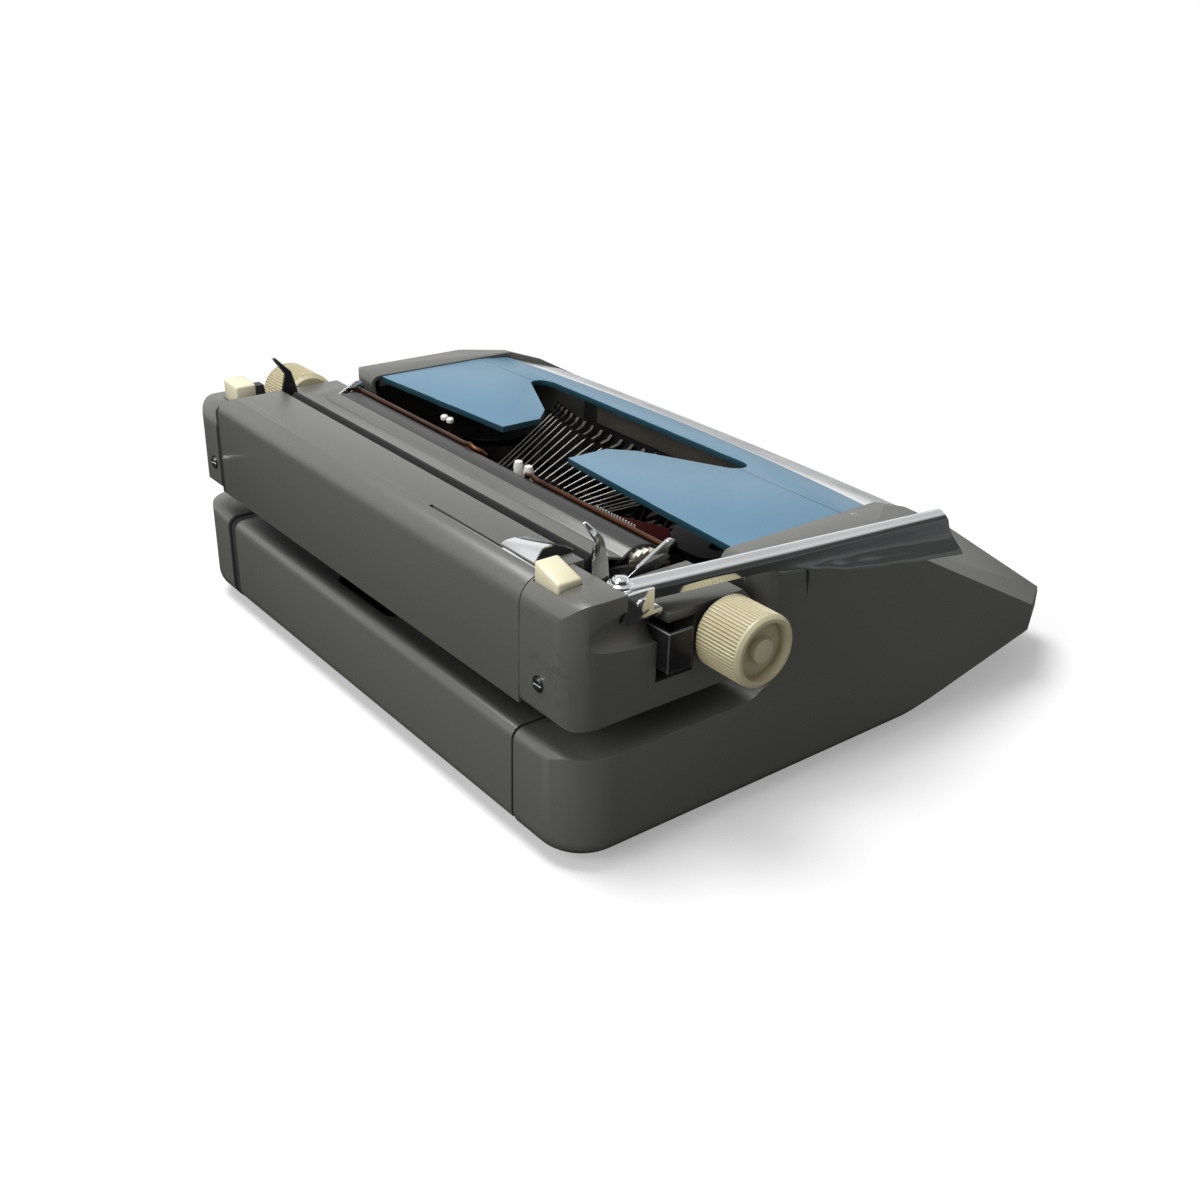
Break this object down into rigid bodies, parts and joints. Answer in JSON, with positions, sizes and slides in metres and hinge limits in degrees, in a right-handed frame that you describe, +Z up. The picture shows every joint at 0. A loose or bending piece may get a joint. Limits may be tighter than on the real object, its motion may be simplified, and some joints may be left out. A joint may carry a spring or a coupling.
{
  "type": "portable typewriter",
  "caption": "Low portable typewriter with a sliding carriage and platen, a lift-up ribbon cover with a winged window, a return lever and a stepped keyboard with type basket.",
  "frame": {"origin": "centre of the overall box on the table under the four feet", "axes": "+X to the typist's right along the carriage, +Y to the rear, +Z up"},
  "size_m": [0.3735, 0.31, 0.127],
  "materials": {
    "body_grey": "satin grey enamel",
    "cover_blue": "satin pale blue enamel",
    "bright_trim": "brushed along its length",
    "steel": "plain bright steel",
    "chrome": "polished plating",
    "cream": "moulded, slightly aged cream",
    "platen_rubber": "ground smooth",
    "black": "matt black",
    "foot_rubber": "moulded",
    "bronze": "brown lacquered wire",
    "white": "white enamel",
    "ribbon": "inked woven tape",
    "bell": "turned"
  },
  "bodies": {
    "frame": {"base_pan": "black", "rubber_feet": "foot_rubber", "left_side_shell": "body_grey", "right_side_shell": "body_grey", "rear_panel": "body_grey", "front_trim": "bright_trim", "front_apron": "body_grey", "left_side_plate": "steel", "right_side_plate": "steel", "cross_bars": "steel", "carriage_rail": "steel", "key_fulcrum_rod": "steel", "key_comb": "steel", "card_holder": "steel", "ribbon_cups": "black", "ribbon": "ribbon", "margin_bell": "bell"},
    "basket": {"type_segment": "steel", "type_bars": "steel", "type_rest": "black"},
    "active_type_bar": {"active_type_bar": "steel"},
    "ribbon_vibrator": {"ribbon_vibrator": "white"},
    "left_spool": {"left_spool": "steel"},
    "right_spool": {"right_spool": "steel"},
    "mainspring_drum": {"mainspring_drum": "steel"},
    "ribbon_cover": {"ribbon_cover": "cover_blue"},
    "carriage": {"carriage_bed": "steel", "carriage_cover": "body_grey", "left_end_cap": "body_grey", "right_end_cap": "body_grey", "left_end_plate": "steel", "right_end_plate": "steel", "paper_table": "body_grey", "feed_rollers": "platen_rubber", "margin_rack": "steel", "margin_stops": "steel", "lever_bracket": "chrome"},
    "platen": {"platen": "platen_rubber", "platen_shaft": "steel", "line_ratchet": "cream", "left_knob": "cream", "right_knob": "cream"},
    "return_lever": {"return_lever": "chrome"},
    "paper_bail": {"bail_wires": "bronze", "bail_arms": "chrome"},
    "paper_release_lever": {"paper_release_lever": "body_grey"},
    "detent_lever": {"detent_lever": "chrome"},
    "carriage_release": {"carriage_release": "chrome"},
    "left_margin_key": {"left_margin_key": "cream"},
    "right_margin_key": {"right_margin_key": "cream"},
    "paper_support": {"paper_support": "chrome"},
    "digit_row": {"digit_row": "cream"},
    "upper_row": {"upper_row": "cream"},
    "home_row": {"home_row": "cream"},
    "lower_row": {"lower_row": "cream"},
    "active_key": {"active_key": "cream"},
    "space_bar": {"space_bar": "cream"},
    "shift_keys": {"shift_keys": "cream"},
    "backspace_key": {"backspace_key": "cream"}
  },
  "joints": [
    {"name": "carriage_slide", "type": "slide", "parent": "frame", "child": "carriage", "axis": [-1, 0, 0], "range_m": [-0.098, 0.098]},
    {"name": "platen_turn", "type": "hinge", "parent": "carriage", "child": "platen", "pos_m": [0, 0.0895, 0.09], "axis": [1, 0, 0], "continuous": true},
    {"name": "return_lever_swing", "type": "hinge", "parent": "carriage", "child": "return_lever", "pos_m": [-0.148, 0.126, 0.1036], "axis": [0, 0, 1], "range_deg": [0, 34], "stiffness_Nm_per_rad": 0.3, "springref_deg": -8.59},
    {"name": "bail_lift", "type": "hinge", "parent": "carriage", "child": "paper_bail", "pos_m": [0, 0.103, 0.093], "axis": [-1, 0, 0], "range_deg": [0, 35]},
    {"name": "paper_release", "type": "hinge", "parent": "carriage", "child": "paper_release_lever", "pos_m": [0.12425, 0.116, 0.096], "axis": [1, 0, 0], "range_deg": [0, 25]},
    {"name": "detent_release", "type": "hinge", "parent": "carriage", "child": "detent_lever", "pos_m": [-0.12425, 0.116, 0.096], "axis": [1, 0, 0], "range_deg": [0, 20]},
    {"name": "carriage_release_press", "type": "slide", "parent": "carriage", "child": "carriage_release", "axis": [0, 0, -1], "range_m": [0, 0.005], "stiffness_N_per_m": 200, "springref_m": -0.003},
    {"name": "left_margin_key_press", "type": "slide", "parent": "carriage", "child": "left_margin_key", "axis": [0, 0, -1], "range_m": [0, 0.003], "stiffness_N_per_m": 300, "springref_m": -0.003},
    {"name": "right_margin_key_press", "type": "slide", "parent": "carriage", "child": "right_margin_key", "axis": [0, 0, -1], "range_m": [0, 0.003], "stiffness_N_per_m": 300, "springref_m": -0.003},
    {"name": "paper_support_raise", "type": "hinge", "parent": "carriage", "child": "paper_support", "pos_m": [-0.12, 0.144, 0.1135], "axis": [0, -1, 0], "range_deg": [0, 80]},
    {"name": "ribbon_cover_open", "type": "hinge", "parent": "frame", "child": "ribbon_cover", "pos_m": [0, 0.056, 0.103], "axis": [-1, 0, 0], "range_deg": [0, 70]},
    {"name": "digit_row_press", "type": "hinge", "parent": "frame", "child": "digit_row", "pos_m": [0, 0.1, 0.014], "axis": [1, 0, 0], "range_deg": [0, 3.2], "stiffness_Nm_per_rad": 1, "springref_deg": -8.59},
    {"name": "upper_row_press", "type": "hinge", "parent": "frame", "child": "upper_row", "pos_m": [0, 0.1, 0.014], "axis": [1, 0, 0], "range_deg": [0, 3.2], "stiffness_Nm_per_rad": 1, "springref_deg": -8.59},
    {"name": "home_row_press", "type": "hinge", "parent": "frame", "child": "home_row", "pos_m": [0, 0.1, 0.014], "axis": [1, 0, 0], "range_deg": [0, 3.2], "stiffness_Nm_per_rad": 1, "springref_deg": -8.59},
    {"name": "lower_row_press", "type": "hinge", "parent": "frame", "child": "lower_row", "pos_m": [0, 0.1, 0.014], "axis": [1, 0, 0], "range_deg": [0, 3.2], "stiffness_Nm_per_rad": 1, "springref_deg": -8.59},
    {"name": "active_key_press", "type": "hinge", "parent": "frame", "child": "active_key", "pos_m": [0, 0.1, 0.014], "axis": [1, 0, 0], "range_deg": [0, 3.2], "stiffness_Nm_per_rad": 1, "springref_deg": -8.59},
    {"name": "space_bar_press", "type": "hinge", "parent": "frame", "child": "space_bar", "pos_m": [0, 0.1, 0.014], "axis": [1, 0, 0], "range_deg": [0, 2], "stiffness_Nm_per_rad": 1, "springref_deg": -8.59},
    {"name": "shift_keys_press", "type": "hinge", "parent": "frame", "child": "shift_keys", "pos_m": [0, 0.1, 0.014], "axis": [1, 0, 0], "range_deg": [0, 3.2], "stiffness_Nm_per_rad": 1, "springref_deg": -8.59},
    {"name": "backspace_key_press", "type": "hinge", "parent": "frame", "child": "backspace_key", "pos_m": [0, 0.1, 0.014], "axis": [1, 0, 0], "range_deg": [0, 3.2], "stiffness_Nm_per_rad": 1, "springref_deg": -8.59},
    {"name": "basket_shift", "type": "slide", "parent": "frame", "child": "basket", "axis": [0, 0, -1], "range_m": [0, 0.0061]},
    {"name": "type_bar_strike", "type": "hinge", "parent": "basket", "child": "active_type_bar", "pos_m": [0.007, 0.0665, 0.036], "axis": [-1, 0, 0], "range_deg": [0, 90.2]},
    {"name": "vibrator_lift", "type": "slide", "parent": "frame", "child": "ribbon_vibrator", "axis": [0, 0, 1], "range_m": [0, 0.0081]},
    {"name": "left_spool_turn", "type": "hinge", "parent": "frame", "child": "left_spool", "pos_m": [-0.091, 0.02, 0.07], "axis": [0, 0, 1], "continuous": true},
    {"name": "right_spool_turn", "type": "hinge", "parent": "frame", "child": "right_spool", "pos_m": [0.091, 0.02, 0.07], "axis": [0, 0, 1], "continuous": true},
    {"name": "drum_turn", "type": "hinge", "parent": "frame", "child": "mainspring_drum", "pos_m": [-0.088, 0.132, 0.03], "axis": [0, 1, 0], "range_deg": [-405, 405]}
  ],
  "couplings": [
    {"joint": "type_bar_strike", "follows": "active_key_press", "ratio": 28.125},
    {"joint": "vibrator_lift", "follows": "active_key_press", "m_per_rad": 0.14324},
    {"joint": "basket_shift", "follows": "shift_keys_press", "m_per_rad": 0.10743},
    {"joint": "right_spool_turn", "follows": "left_spool_turn", "ratio": 1},
    {"joint": "drum_turn", "follows": "carriage_slide", "rad_per_m": 71.4}
  ]
}
